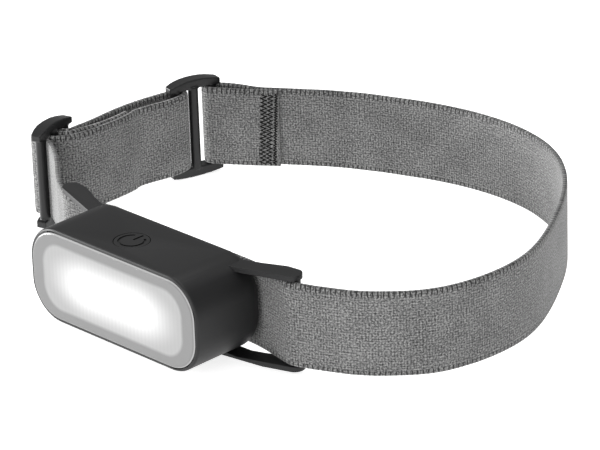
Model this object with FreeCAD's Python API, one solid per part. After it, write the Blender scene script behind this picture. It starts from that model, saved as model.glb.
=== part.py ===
"""Headlamp on an elastic head strap, as separate solids, one STEP file per sub-part.

Millimetres. X runs along the lamp, Y from the lens back towards the wearer's head, Z up.
The origin is the middle of the lens's front face, where the light comes out.
"""
import FreeCAD, Part
import math
import os

os.makedirs("parts", exist_ok=True)
Vector = FreeCAD.Vector

# ---------------------------------------------------------------- driving sizes

# lens and housing
LENS_WIDTH = 66.0
LENS_HEIGHT = 26.6
LENS_CORNER = 10.2
LENS_PROUD = 0.4          # how far the lens stands out of the housing
LENS_PLATE = 1.8          # thickness of the lens's front
LENS_SKIRT = 1.2          # depth of the skirt behind the front
LENS_SKIRT_WALL = 1.8
LENS_EDGE_ROUND = 0.7
RIM = 1.0                 # housing wall seen round the lens
WALL = 1.8
HOUSING_DEPTH = 25.9
FRONT_ROUND = 0.8
BACK_ROUND = 5.0
SEAL_THICKNESS = 0.5

# strap
STRAP_WIDTH = 25.0
STRAP_THICKNESS = 1.5
STRAP_DROP = 1.7          # the strap's middle below the lamp's middle

# lugs: the ears and bars that carry the strap
EAR_TIP = 1.5             # thickness of an ear at its tip
BAR_RADIUS = 1.5
BAR_X = 45.3
BAR_SETBACK = 0.9         # the bar's middle behind the housing's back

# three-bar sliders
SLIDER_BAR_RADIUS = 1.2
STRAP_ROOM = 0.8          # spare room in a slider's slot with two straps in it
SLIDER_RAIL_DEPTH = 2.8
SLIDER_RAIL_END = 1.5     # height of a rail at its ends
SLIDER_RAIL_CROWN = 1.5   # how much higher a rail is in its middle
SLIDER_BOW = 1.2          # how far a rail bows away from the head

# light
PANEL_WIDTH = 57.0        # the lit opening behind the lens
PANEL_HEIGHT = 20.6
PANEL_CORNER = 7.2
TRAY_DEPTH = 3.4
TRAY_WALL = 1.8
BOARD_THICKNESS = 1.2
PHOSPHOR_WIDTH = 46.0
PHOSPHOR_HEIGHT = 8.0
PHOSPHOR_THICKNESS = 0.4
SCREW_RADIUS = 0.8
SCREW_HEAD_RADIUS = 1.5
SCREW_HEAD_HEIGHT = 0.9
SCREW_LENGTH = 6.0
SCREW_X = 30.3
SCREW_BOSS_RADIUS = 1.9

# electronics
PCB_WIDTH = 46.0
PCB_HEIGHT = 18.0
SOCKET_WIDTH = 8.9
SOCKET_DEPTH = 3.2
SOCKET_LENGTH = 7.3
SOCKET_WALL = 0.3
SWITCH_WIDTH = 6.0
SWITCH_DEPTH = 3.6
SWITCH_HEIGHT = 3.5
PLUNGER_RADIUS = 1.1
CELL_LENGTH = 40.0
CELL_HEIGHT = 20.0
CELL_THICKNESS = 8.0
CELL_ROUND = 2.5
PAD_THICKNESS = 1.0
LEAD_RADIUS = 0.55

# button and port flap
BUTTON_X = -1.2
BUTTON_RADIUS = 5.2
BUTTON_WELL_WALL = 1.0     # from the button's edge to the lens seal's ledge
BUTTON_THICKNESS = 1.0
BUTTON_TRAVEL = 0.6
BUTTON_FLOOR = 1.1        # floor of the well that the button sits in
STEM_RADIUS = 1.5
STEM_CLIP = 1.0           # how far the clip on the stem stands out of it
STEM_CLIP_THICKNESS = 0.5
SEAL_RING = 0.9           # section of the ring round the stem
SYMBOL_RADIUS = 3.7
SYMBOL_LINE = 0.7
SYMBOL_DEPTH = 0.3
SYMBOL_GAP = 64.0         # opening of the mark's ring, in degrees
FLAP_LENGTH = 15.0
FLAP_DEPTH = 7.6
FLAP_THICKNESS = 0.9
FLAP_CORNER = 1.5

# clearances
FIT = 0.1                 # pieces that seat in each other
SLIDE = 0.15              # pieces that move in each other
STRAP_SIDE = 0.5          # between the strap's edge and an ear or a rail
STRAP_FACE = 0.2          # between the strap's face and the lamp
WRAP = 0.12               # between the strap and the bar it is wrapped round
SPARE = 0.03              # kept straight between two bends that meet
PLY = 0.12                # between two layers of strap that are sewn together

# ---------------------------------------------------------------- sizes that follow

HOUSING_WIDTH = LENS_WIDTH + 2 * (FIT + RIM)
HOUSING_HEIGHT = LENS_HEIGHT + 2 * (FIT + RIM)
HOUSING_CORNER = LENS_CORNER + FIT + RIM
FRONT_Y = LENS_PROUD
BACK_Y = FRONT_Y + HOUSING_DEPTH
TOP_Z = HOUSING_HEIGHT / 2
INNER_TOP_Z = TOP_Z - WALL
LEDGE_Y = LENS_PLATE + LENS_SKIRT + SEAL_THICKNESS

STRAP_Z = -STRAP_DROP
STRAP_TOP = STRAP_Z + STRAP_WIDTH / 2
STRAP_BOTTOM = STRAP_Z - STRAP_WIDTH / 2
HALF_STRAP = STRAP_THICKNESS / 2
BAR_Y = BACK_Y + BAR_SETBACK
LUG_BEND = BAR_RADIUS + STRAP_FACE + HALF_STRAP
WRAP_RADIUS = SLIDER_BAR_RADIUS + WRAP + HALF_STRAP
SLIDER_PITCH = 2 * (SLIDER_BAR_RADIUS + STRAP_THICKNESS) + STRAP_ROOM

TRAY_Y = LENS_PLATE + FIT
BOARD_Y = TRAY_Y + TRAY_DEPTH
BOARD_BACK_Y = BOARD_Y + BOARD_THICKNESS
BUTTON_Y = LEDGE_Y + BUTTON_RADIUS + BUTTON_WELL_WALL
PCB_Y = BUTTON_Y + SWITCH_DEPTH / 2
PCB_BACK_Y = PCB_Y + BOARD_THICKNESS
CELL_Y = PCB_BACK_Y + 0.2 + PAD_THICKNESS
CELL_BACK_Y = CELL_Y + CELL_THICKNESS

WELL_FLOOR_Z = TOP_Z - BUTTON_THICKNESS - BUTTON_TRAVEL - SLIDE
WELL_BOTTOM_Z = WELL_FLOOR_Z - BUTTON_FLOOR
CLIP_TOP_Z = WELL_BOTTOM_Z - FIT
STEM_BOTTOM_Z = CLIP_TOP_Z - STEM_CLIP_THICKNESS - 0.4
SWITCH_TOP_Z = STEM_BOTTOM_Z - BUTTON_TRAVEL - 0.4
PCB_TOP_Z = SWITCH_TOP_Z + 0.4
SOCKET_Y = PCB_Y - SOCKET_DEPTH / 2
SOCKET_MOUTH_Z = -INNER_TOP_Z + 0.2
FLAP_OUTER_Z = -TOP_Z + 0.1
FLAP_INNER_Z = FLAP_OUTER_Z + FLAP_THICKNESS


# ---------------------------------------------------------------- shared shapes

def rounded_rectangle(width, height, corner, y):
    """A face in the plane Y = y, centred on the lamp's axis."""
    x = width / 2 - corner
    z = height / 2 - corner
    edges = []
    for sx, sz, start in ((1, 1, 0), (-1, 1, 90), (-1, -1, 180), (1, -1, 270)):
        centre = Vector(sx * x, y, sz * z)
        points = []
        for turn in (0, 45, 90):
            angle = math.radians(start + turn)
            points.append(centre + Vector(math.cos(angle), 0, math.sin(angle)) * corner)
        edges.append(Part.Arc(*points).toShape())
    sides = [Part.makeLine(a.Vertexes[-1].Point, b.Vertexes[0].Point)
             for a, b in zip(edges, edges[1:] + edges[:1])]
    ring = [edge for pair in zip(edges, sides) for edge in pair]
    return Part.Face(Part.Wire(ring))


def slab(width, height, corner, y, depth):
    """A rounded-rectangular block from Y = y, depth thick."""
    return rounded_rectangle(width, height, corner, y).extrude(Vector(0, depth, 0))


def edges_at(shape, y):
    """The edges of shape that lie wholly in the plane Y = y."""
    return [edge for edge in shape.Edges
            if all(abs(v.Point.y - y) < 1e-4 for v in edge.Vertexes)]


def block(x, y, z):
    """A box from three (low, high) pairs."""
    size = (x[1] - x[0], y[1] - y[0], z[1] - z[0])
    return Part.makeBox(*size, Vector(x[0], y[0], z[0]))


def straight(a, b):
    """The edge from a to b, or nothing where two arcs already meet."""
    return [Part.makeLine(a, b)] if (b - a).Length > 1e-3 else []


def bent_path(points, radii, offset=0.0):
    """Edges along the corner points, each corner turned by an arc of its radius.

    The path may be offset to its left; the arcs stay concentric, so offset paths run parallel.
    A radius of None takes the largest arc that the two runs allow.
    """
    runs = [(b - a).normalize() for a, b in zip(points, points[1:])]
    lengths = [(b - a).Length for a, b in zip(points, points[1:])]
    lefts = [Vector(-run.y, run.x, 0) for run in runs]
    edges = []
    last = points[0] + lefts[0] * offset
    for i in range(1, len(points) - 1):
        turn = runs[i - 1].getAngle(runs[i])
        side = 1 if runs[i - 1].cross(runs[i]).z > 0 else -1
        longest = 0.48 * min(lengths[i - 1], lengths[i])
        radius = radii[i - 1] if radii[i - 1] else longest / math.tan(turn / 2)
        tangent = radius * math.tan(turn / 2)
        into = points[i] - runs[i - 1] * tangent
        out = points[i] + runs[i] * tangent
        centre = into + lefts[i - 1] * (side * radius)
        towards = (points[i] - centre).normalize()
        middle = centre + towards * (radius - side * offset)
        start = into + lefts[i - 1] * offset
        end = out + lefts[i] * offset
        edges += straight(last, start)
        edges.append(Part.Arc(start, middle, end).toShape())
        last = end
    return edges + straight(last, points[-1] + lefts[-1] * offset)


def ribbon(points, radii=None, offset=0.0, thickness=STRAP_THICKNESS, width=STRAP_WIDTH):
    """Webbing that stands on edge and follows a plan path of corner points."""
    corners = [Vector(x, y, STRAP_Z - width / 2) for x, y in points]
    bends = radii or [None] * (len(corners) - 2)
    left = bent_path(corners, bends, offset + thickness / 2)
    right = bent_path(corners, bends, offset - thickness / 2)
    first = Part.makeLine(right[0].Vertexes[0].Point, left[0].Vertexes[0].Point)
    last = Part.makeLine(left[-1].Vertexes[-1].Point, right[-1].Vertexes[-1].Point)
    outline = Part.Wire(left + [last] + right[::-1] + [first])
    return Part.Face(outline).extrude(Vector(0, 0, width))


def between(a, b, share):
    """The point that lies this share of the way from a to b."""
    return (a[0] + (b[0] - a[0]) * share, a[1] + (b[1] - a[1]) * share)


def tube(points, radius):
    """A wire lead along 3-D corner points, each corner turned by a large arc."""
    edges = []
    last = points[0]
    for before, corner, after in zip(points, points[1:], points[2:]):
        into = (corner - before).normalize()
        out = (after - corner).normalize()
        reach = 0.45 * min((corner - before).Length, (after - corner).Length)
        start = corner - into * reach
        end = corner + out * reach
        swing = reach * math.tan(into.getAngle(out) / 4)
        middle = corner + (out - into).normalize() * swing
        edges.append(Part.makeLine(last, start))
        edges.append(Part.Arc(start, middle, end).toShape())
        last = end
    edges.append(Part.makeLine(last, points[-1]))
    spine = Part.Wire(edges)
    profile = Part.Wire(Part.makeCircle(radius, points[0], points[1] - points[0]))
    return spine.makePipeShell([profile], True, True)


class Slider:
    """A slider's place: its middle bar and the direction that its rails run in."""

    def __init__(self, x, y, heading):
        self.middle = (x, y)
        self.heading = heading
        self.along = (math.cos(math.radians(heading)), math.sin(math.radians(heading)))
        self.outward = (-self.along[1], self.along[0])

    def at(self, u, n):
        """The plan point u along the rails and n outward of the bars."""
        return (self.middle[0] + u * self.along[0] + n * self.outward[0],
                self.middle[1] + u * self.along[1] + n * self.outward[1])

    def place(self, shape):
        """Move a shape drawn with X along and Y outward to the slider's place."""
        moved = shape.copy()
        moved.rotate(Vector(0, 0, 0), Vector(0, 0, 1), self.heading)
        moved.translate(Vector(self.middle[0], self.middle[1], STRAP_Z))
        return moved


ADJUSTER = Slider(-82.4, 52.1, 105.0)
JOINER = Slider(-75.4, 103.6, 76.0)


# ---------------------------------------------------------------- housing

def ear(top):
    """A +X ear: a flat plate at the top, and below a plate that thins towards its tip."""
    tip_x = BAR_X + BAR_RADIUS + 0.8
    plan = [Vector(*p, 0) for p in (
        (24, 16.5), (tip_x, 24.4), (tip_x, BAR_Y + BAR_RADIUS + 0.8),
        (41, BAR_Y + BAR_RADIUS), (34, 25.5), (24, 22.0), (24, 16.5))]
    edges = bent_path(plan, [2.8, 2.4, 5.0, 3.0, 0.5])
    outline = Part.Wire(edges)
    prism = Part.Face(outline).extrude(Vector(0, 0, 2 * HOUSING_HEIGHT))
    prism.translate(Vector(0, 0, -HOUSING_HEIGHT))
    if top:
        inner = STRAP_TOP + STRAP_SIDE
        section = [(20, inner), (20, inner + EAR_TIP), (BAR_X + 6, inner + EAR_TIP),
                   (BAR_X + 6, inner)]
    else:
        inner = STRAP_BOTTOM - STRAP_SIDE
        root_z = -TOP_Z + 0.05
        section = [(20, root_z + WALL), (20, root_z), (BAR_X - 8, inner - EAR_TIP),
                   (BAR_X + 6, inner - EAR_TIP), (BAR_X + 6, inner), (30, inner)]
    corners = [Vector(x, 0, z) for x, z in section]
    side = Part.Face(Part.makePolygon(corners + corners[:1])).extrude(Vector(0, 60, 0))
    return prism.common(side)


def make_housing():
    body = slab(HOUSING_WIDTH, HOUSING_HEIGHT, HOUSING_CORNER, FRONT_Y, HOUSING_DEPTH)
    body = body.makeFillet(BACK_ROUND, edges_at(body, BACK_Y))
    body = body.makeFillet(FRONT_ROUND, edges_at(body, FRONT_Y))
    ears = [ear(True), ear(False)]
    bar = Part.makeCylinder(BAR_RADIUS, STRAP_WIDTH + 2 * STRAP_SIDE + EAR_TIP,
                            Vector(BAR_X, BAR_Y, STRAP_BOTTOM - STRAP_SIDE - EAR_TIP / 2))
    lug = ears[0].fuse(ears[1]).fuse(bar)
    body = body.fuse([lug, lug.mirror(Vector(0, 0, 0), Vector(1, 0, 0))])

    inner_width = HOUSING_WIDTH - 2 * WALL
    inner_height = HOUSING_HEIGHT - 2 * WALL
    cavity_depth = HOUSING_DEPTH - WALL
    cavity = slab(inner_width, inner_height, HOUSING_CORNER - WALL, FRONT_Y, cavity_depth)
    cavity = cavity.makeFillet(BACK_ROUND - WALL, edges_at(cavity, FRONT_Y + cavity_depth))
    pocket = slab(LENS_WIDTH + 2 * FIT, LENS_HEIGHT + 2 * FIT, LENS_CORNER + FIT,
                  FRONT_Y - 1, LEDGE_Y - FRONT_Y + 1)
    body = body.cut(cavity).cut(pocket)

    for side in (-1, 1):
        boss = Part.makeCylinder(SCREW_BOSS_RADIUS, cavity_depth + FRONT_Y - BOARD_BACK_Y,
                                 Vector(side * SCREW_X, BOARD_BACK_Y, 0), Vector(0, 1, 0))
        pilot = Part.makeCylinder(SCREW_RADIUS, SCREW_LENGTH,
                                  Vector(side * SCREW_X, BOARD_BACK_Y - 0.5, 0), Vector(0, 1, 0))
        body = body.fuse(boss).cut(pilot)

    recess = flap_plate(SLIDE, FLAP_INNER_Z + SLIDE)
    slot = socket_slot(0.35, -TOP_Z - 1, 2 * WALL + 1)
    return add_button_well(body).cut(recess).cut(slot)


def upright_cylinder(radius, bottom, top):
    """A cylinder on the button's axis, from one height to another."""
    return Part.makeCylinder(radius, top - bottom, Vector(BUTTON_X, BUTTON_Y, bottom))


def add_button_well(body):
    """The round well in the top wall, with a hole and a seal seat in its floor."""
    well = BUTTON_RADIUS + SLIDE
    body = body.fuse(upright_cylinder(well + 0.5, WELL_BOTTOM_Z, TOP_Z - 0.5))
    body = body.cut(upright_cylinder(well, WELL_FLOOR_Z, TOP_Z + 1))
    body = body.cut(upright_cylinder(STEM_RADIUS + SLIDE, WELL_BOTTOM_Z - 1, TOP_Z))
    return body.cut(upright_cylinder(STEM_RADIUS + SEAL_RING, WELL_BOTTOM_Z - 1,
                                     WELL_BOTTOM_Z + SEAL_RING))


def socket_slot(grow, z, height):
    """The upright slot that the charging plug passes through, grown all round."""
    width = SOCKET_WIDTH + 2 * grow
    depth = SOCKET_DEPTH + 2 * grow
    shape = block((-width / 2, width / 2), (SOCKET_Y - depth / 2, SOCKET_Y + depth / 2),
                  (z, z + height))
    upright = [e for e in shape.Edges if abs(e.tangentAt(e.FirstParameter).z) > 0.99]
    return shape.makeFillet(depth / 2 - 0.05, upright)


def flap_plate(grow, top_z):
    """The port flap's plate, or with grow the recess that it lies in."""
    shape = block((-FLAP_LENGTH / 2 - grow, FLAP_LENGTH / 2 + grow),
                  (SOCKET_Y - FLAP_DEPTH / 2 - grow, SOCKET_Y + FLAP_DEPTH / 2 + grow),
                  (FLAP_OUTER_Z - (1 if grow else 0), top_z))
    upright = [e for e in shape.Edges if abs(e.tangentAt(e.FirstParameter).z) > 0.99]
    return shape.makeFillet(FLAP_CORNER, upright)


def make_port_flap():
    plate = flap_plate(0, FLAP_INNER_Z)
    rib = socket_slot(-0.8, FLAP_INNER_Z - 0.1, WALL - FLAP_THICKNESS - 0.2)
    return plate.fuse(rib).removeSplitter()


# ---------------------------------------------------------------- lens and light

def make_lens():
    front = slab(LENS_WIDTH, LENS_HEIGHT, LENS_CORNER, 0, LENS_PLATE)
    front = front.makeFillet(LENS_EDGE_ROUND, edges_at(front, 0))
    skirt = slab(LENS_WIDTH, LENS_HEIGHT, LENS_CORNER, LENS_PLATE, LENS_SKIRT)
    hollow = slab(LENS_WIDTH - 2 * LENS_SKIRT_WALL, LENS_HEIGHT - 2 * LENS_SKIRT_WALL,
                  LENS_CORNER - LENS_SKIRT_WALL, LENS_PLATE, LENS_SKIRT)
    return front.fuse(skirt.cut(hollow)).removeSplitter()


def make_lens_seal():
    y = LENS_PLATE + LENS_SKIRT
    outer = slab(LENS_WIDTH, LENS_HEIGHT, LENS_CORNER, y, SEAL_THICKNESS)
    inner = slab(HOUSING_WIDTH - 2 * WALL, HOUSING_HEIGHT - 2 * WALL, HOUSING_CORNER - WALL,
                 y, SEAL_THICKNESS)
    return outer.cut(inner)


def make_light_tray():
    outer_width = LENS_WIDTH - 2 * (LENS_SKIRT_WALL + FIT)
    outer_height = LENS_HEIGHT - 2 * (LENS_SKIRT_WALL + FIT)
    outer_corner = LENS_CORNER - LENS_SKIRT_WALL - FIT
    tray = slab(outer_width, outer_height, outer_corner, TRAY_Y, TRAY_DEPTH)
    front = rounded_rectangle(PANEL_WIDTH, PANEL_HEIGHT, PANEL_CORNER, TRAY_Y)
    back = rounded_rectangle(PANEL_WIDTH - 2 * TRAY_WALL, PANEL_HEIGHT - 2 * TRAY_WALL,
                             PANEL_CORNER - TRAY_WALL, TRAY_Y + TRAY_DEPTH)
    opening = Part.makeLoft([front.OuterWire, back.OuterWire], True, True)
    tray = tray.cut(opening)
    for side in (-1, 1):
        tray = tray.cut(screw(side, SLIDE))
    return tray


def screw(side, grow=0.0):
    """A self-tapping screw through the tray and the light board, or with grow its hole."""
    head_y = BOARD_Y - SCREW_HEAD_HEIGHT
    head = Part.makeCylinder(SCREW_HEAD_RADIUS + grow, SCREW_HEAD_HEIGHT + grow,
                             Vector(side * SCREW_X, head_y - grow, 0), Vector(0, 1, 0))
    shank = Part.makeCylinder(SCREW_RADIUS + grow, SCREW_LENGTH,
                              Vector(side * SCREW_X, BOARD_Y, 0), Vector(0, 1, 0))
    return head.fuse(shank)


def make_tray_screws():
    screws = []
    for side in (-1, 1):
        slot = block((side * SCREW_X - 0.2, side * SCREW_X + 0.2),
                     (BOARD_Y - SCREW_HEAD_HEIGHT, BOARD_Y - SCREW_HEAD_HEIGHT + 0.4),
                     (-SCREW_HEAD_RADIUS, SCREW_HEAD_RADIUS))
        screws.append(screw(side).cut(slot))
    return Part.makeCompound(screws)


def make_cob_board():
    height = LENS_HEIGHT - 2 * (LENS_SKIRT_WALL + FIT)
    board = slab(LENS_WIDTH - 2 * (LENS_SKIRT_WALL + FIT), height,
                 LENS_CORNER - LENS_SKIRT_WALL - FIT, BOARD_Y, BOARD_THICKNESS)
    for side in (-1, 1):
        board = board.cut(Part.makeCylinder(SCREW_RADIUS + SLIDE, 3 * BOARD_THICKNESS,
                                            Vector(side * SCREW_X, BOARD_Y - 1, 0),
                                            Vector(0, 1, 0)))
    return board


def make_phosphor_strip():
    return slab(PHOSPHOR_WIDTH, PHOSPHOR_HEIGHT, PHOSPHOR_HEIGHT / 2 - 0.1,
                BOARD_Y - PHOSPHOR_THICKNESS, PHOSPHOR_THICKNESS)


# ---------------------------------------------------------------- electronics

def make_circuit_board():
    return block((-PCB_WIDTH / 2, PCB_WIDTH / 2), (PCB_Y, PCB_BACK_Y),
                 (PCB_TOP_Z - PCB_HEIGHT, PCB_TOP_Z))


def make_board_chips():
    chips = []
    for x, z, width, height, depth in ((-13, -2, 5, 4, 1.2), (11, 1, 4, 4, 1.0),
                                       (17, -4, 2, 1.2, 0.8), (-19, 3, 2, 1.2, 0.8),
                                       (12, -6.5, 3.2, 2.5, 1.5)):
        chips.append(block((x - width / 2, x + width / 2), (PCB_Y - depth, PCB_Y),
                           (z - height / 2, z + height / 2)))
    return Part.makeCompound(chips)


def make_charge_socket():
    shell = socket_slot(0, SOCKET_MOUTH_Z, SOCKET_LENGTH)
    hollow = socket_slot(-SOCKET_WALL, SOCKET_MOUTH_Z - 1, SOCKET_LENGTH - SOCKET_WALL + 1)
    return shell.cut(hollow)


def make_socket_tongue():
    return block((-3.3, 3.3), (SOCKET_Y - 0.35, SOCKET_Y + 0.35),
                 (SOCKET_MOUTH_Z + 0.8, SOCKET_MOUTH_Z + SOCKET_LENGTH - SOCKET_WALL))


def make_switch_body():
    body = block((BUTTON_X - SWITCH_WIDTH / 2, BUTTON_X + SWITCH_WIDTH / 2),
                 (PCB_Y - SWITCH_DEPTH, PCB_Y), (SWITCH_TOP_Z - SWITCH_HEIGHT, SWITCH_TOP_Z))
    bore = Part.makeCylinder(PLUNGER_RADIUS + SLIDE, BUTTON_TRAVEL + 1.5,
                             Vector(BUTTON_X, BUTTON_Y, SWITCH_TOP_Z - BUTTON_TRAVEL - 1.0))
    return body.cut(bore)


def make_switch_plunger():
    return upright_cylinder(PLUNGER_RADIUS, SWITCH_TOP_Z - 0.8, STEM_BOTTOM_Z)


def make_power_button():
    cap = upright_cylinder(BUTTON_RADIUS, TOP_Z - BUTTON_THICKNESS, TOP_Z)
    rim = [e for e in cap.Edges if e.BoundBox.ZMin > TOP_Z - 0.01]
    cap = cap.makeFillet(0.25, rim)
    stem = upright_cylinder(STEM_RADIUS, STEM_BOTTOM_Z, TOP_Z - 0.5)
    button = cap.fuse(stem).removeSplitter()

    floor = TOP_Z - SYMBOL_DEPTH
    ring = upright_cylinder(SYMBOL_RADIUS + SYMBOL_LINE / 2, floor, TOP_Z + 1)
    ring = ring.cut(upright_cylinder(SYMBOL_RADIUS - SYMBOL_LINE / 2, floor, TOP_Z + 1))
    centre = Vector(BUTTON_X, BUTTON_Y, floor)
    gap = Part.makeCylinder(2 * SYMBOL_RADIUS, 2, centre, Vector(0, 0, 1), SYMBOL_GAP)
    gap.rotate(centre, Vector(0, 0, 1), 90 - SYMBOL_GAP / 2)
    stroke = block((BUTTON_X - SYMBOL_LINE / 2, BUTTON_X + SYMBOL_LINE / 2),
                   (BUTTON_Y + 0.6, BUTTON_Y + SYMBOL_RADIUS + 0.7), (floor, TOP_Z + 1))
    return button.cut(ring.cut(gap)).cut(stroke)


def make_button_clip():
    """The ring pressed on the stem below the well, which keeps the button in."""
    ring = upright_cylinder(STEM_RADIUS + STEM_CLIP, CLIP_TOP_Z - STEM_CLIP_THICKNESS, CLIP_TOP_Z)
    return ring.cut(upright_cylinder(STEM_RADIUS, 0, TOP_Z))


def make_button_seal():
    """The rubber ring that the stem slides through."""
    bottom = WELL_BOTTOM_Z + 0.05
    ring = upright_cylinder(STEM_RADIUS + SEAL_RING, bottom, WELL_BOTTOM_Z + SEAL_RING)
    return ring.cut(upright_cylinder(STEM_RADIUS + 0.03, 0, TOP_Z))


def make_battery_cell():
    cell = slab(CELL_LENGTH, CELL_HEIGHT, CELL_ROUND, CELL_Y, CELL_THICKNESS)
    ends = edges_at(cell, CELL_Y) + edges_at(cell, CELL_BACK_Y)
    return cell.makeFillet(1.0, ends)


def make_battery_pads():
    inner_back = BACK_Y - WALL
    front = slab(CELL_LENGTH - 6, CELL_HEIGHT - 6, 1.5, CELL_Y - PAD_THICKNESS, PAD_THICKNESS)
    back = slab(CELL_LENGTH - 6, CELL_HEIGHT - 6, 1.5, CELL_BACK_Y, inner_back - CELL_BACK_Y)
    return Part.makeCompound([front, back])


def make_battery_leads():
    end_x = CELL_LENGTH / 2
    middle_y = CELL_Y + CELL_THICKNESS / 2
    leads = []
    for z in (-3.0, 3.0):
        leads.append(tube([Vector(end_x, middle_y, z), Vector(end_x + 2.2, middle_y, z),
                           Vector(end_x + 2.2, PCB_BACK_Y, z)], LEAD_RADIUS))
    return Part.makeCompound(leads)


def make_led_leads():
    middle_y = (BOARD_BACK_Y + PCB_Y) / 2
    leads = []
    for x in (-16.5, -14.0):
        leads.append(tube([Vector(x, BOARD_BACK_Y, 5.0), Vector(x, middle_y - 0.6, 5.0),
                           Vector(x, middle_y + 0.6, 5.8), Vector(x, PCB_Y, 5.8)], LEAD_RADIUS))
    return Part.makeCompound(leads)


# ---------------------------------------------------------------- sliders

def make_slider(slider):
    """Three upright bars between two bowed, crowned rails, in one moulding."""
    reach = SLIDER_PITCH + SLIDER_BAR_RADIUS + 0.8
    inner = STRAP_WIDTH / 2 + STRAP_SIDE
    end = inner + SLIDER_RAIL_END
    crown = end + SLIDER_RAIL_CROWN
    half_depth = SLIDER_RAIL_DEPTH / 2

    inside = Part.Arc(Vector(-reach, -half_depth, 0), Vector(0, SLIDER_BOW - half_depth, 0),
                      Vector(reach, -half_depth, 0)).toShape()
    outside = Part.Arc(Vector(reach, half_depth, 0), Vector(0, SLIDER_BOW + half_depth, 0),
                       Vector(-reach, half_depth, 0)).toShape()
    ends = [Part.makeLine(Vector(reach, -half_depth, 0), Vector(reach, half_depth, 0)),
            Part.makeLine(Vector(-reach, half_depth, 0), Vector(-reach, -half_depth, 0))]
    bowed = Part.Face(Part.Wire([inside, ends[0], outside, ends[1]]))
    bowed = bowed.extrude(Vector(0, 0, 2 * crown))
    bowed.translate(Vector(0, 0, -crown))

    depth = half_depth + SLIDER_BOW + 1
    solids = []
    for side in (-1, 1):
        arch = Part.Arc(Vector(-reach, -depth, side * end), Vector(0, -depth, side * crown),
                        Vector(reach, -depth, side * end)).toShape()
        lines = [Part.makeLine(Vector(reach, -depth, side * end),
                               Vector(reach, -depth, side * inner)),
                 Part.makeLine(Vector(reach, -depth, side * inner),
                               Vector(-reach, -depth, side * inner)),
                 Part.makeLine(Vector(-reach, -depth, side * inner),
                               Vector(-reach, -depth, side * end))]
        face = Part.Face(Part.Wire([arch] + lines))
        solids.append(face.extrude(Vector(0, 2 * depth, 0)).common(bowed))
    for u in (-SLIDER_PITCH, 0, SLIDER_PITCH):
        solids.append(Part.makeCylinder(SLIDER_BAR_RADIUS, 2 * inner + 1, Vector(u, 0, -inner - 0.5)))
    return slider.place(solids[0].fuse(solids[1:]).removeSplitter())


# ---------------------------------------------------------------- strap

# corner points of the strap's middle line in plan, from its sewn end round to its other end
BEHIND_LAMP = BACK_Y + STRAP_FACE + 0.2 + HALF_STRAP
RIGHT_LUG = (BAR_X + 0.1, BAR_Y - LUG_BEND - 0.15)
LEFT_LUG = (-RIGHT_LUG[0], RIGHT_LUG[1])
HEAD_RUN = [(53.6, 27.4), (66.3, 33.3), (80.6, 48.4), (84.4, 73.0), (77.8, 94.4), (55.2, 129.9),
            (30.1, 145.9), (-1.4, 147.2), (-36.2, 134.5), (-55.2, 122.0)]
LEFT_RUN = [(-56.5, 31.1), (-73.4, 45.2)]
OUTER_RUN = [(-80.9, 66.0), (-82.1, 78.0), (-81.5, 89.0)]
INNER_RUN = [(-74.3, 93.5), (-76.2, 85.0), (-76.3, 77.5), (-75.2, 69.0), (-75.5, 61.5)]
SEAM_START = (-61.0, 117.6)
LOOP_PULL = (0.829, 0.559)   # the way that the sewn loop pulls on its bar
LOOP_SLACK = 8.5             # from the bar to where the loop's outer layer bends in

SEWN_TAIL = [(-75.45 - STRAP_THICKNESS, 69.2), (-76.65 - STRAP_THICKNESS, 78.4)]
CROSSING = SLIDER_PITCH - WRAP_RADIUS
HUMP = 4.4


def make_strap_right():
    """From the right lug round the side of the head."""
    start = between(RIGHT_LUG, HEAD_RUN[0], 0.5)
    end = between(HEAD_RUN[4], HEAD_RUN[5], 0.5)
    return ribbon([start] + HEAD_RUN[:5] + [end])


def make_strap_back():
    """Round the back of the head to where the sewn loop starts."""
    start = between(HEAD_RUN[4], HEAD_RUN[5], 0.5)
    end = between(HEAD_RUN[9], SEAM_START, 0.5)
    return ribbon([start] + HEAD_RUN[5:] + [end])


def loop_corners(bar, pull):
    """Two corner points that carry the strap round a bar, for a strap pulled along pull."""
    length = math.hypot(*pull)
    dx, dy = pull[0] / length, pull[1] / length
    r = WRAP_RADIUS + SPARE
    return ((bar[0] + r * (-dx - dy), bar[1] + r * (-dy + dx)),
            (bar[0] + r * (-dx + dy), bar[1] + r * (-dy - dx)))


def make_strap_end_loop():
    """The sewn end: over the joining slider's far bar and back along the strap's inner face."""
    start = between(HEAD_RUN[9], SEAM_START, 0.5)
    outer, inner = loop_corners(JOINER.at(SLIDER_PITCH, 0), LOOP_PULL)
    slack = (outer[0] + LOOP_SLACK * LOOP_PULL[0], outer[1] + LOOP_SLACK * LOOP_PULL[1])
    lap = STRAP_THICKNESS + PLY
    seam = (SEAM_START[0] + 0.60 * lap, SEAM_START[1] - 0.80 * lap)
    cut_end = (seam[0] + 6.0 * 0.79, seam[1] + 6.0 * 0.61)
    return ribbon([start, SEAM_START, slack, outer, inner, seam, cut_end],
                  [None, None, WRAP_RADIUS, WRAP_RADIUS, None])


def make_strap_lamp_run():
    """Through both lugs and straight across the back of the housing."""
    corner_x = HOUSING_WIDTH / 2 - BACK_ROUND + 0.5
    corner_bend = BACK_ROUND + BEHIND_LAMP - BACK_Y
    start = between(LEFT_LUG, LEFT_RUN[0], 0.5)
    end = between(RIGHT_LUG, HEAD_RUN[0], 0.5)
    return ribbon([start, LEFT_LUG, (-corner_x, BEHIND_LAMP), (corner_x, BEHIND_LAMP),
                   RIGHT_LUG, end], [LUG_BEND, corner_bend, corner_bend, LUG_BEND])


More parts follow.
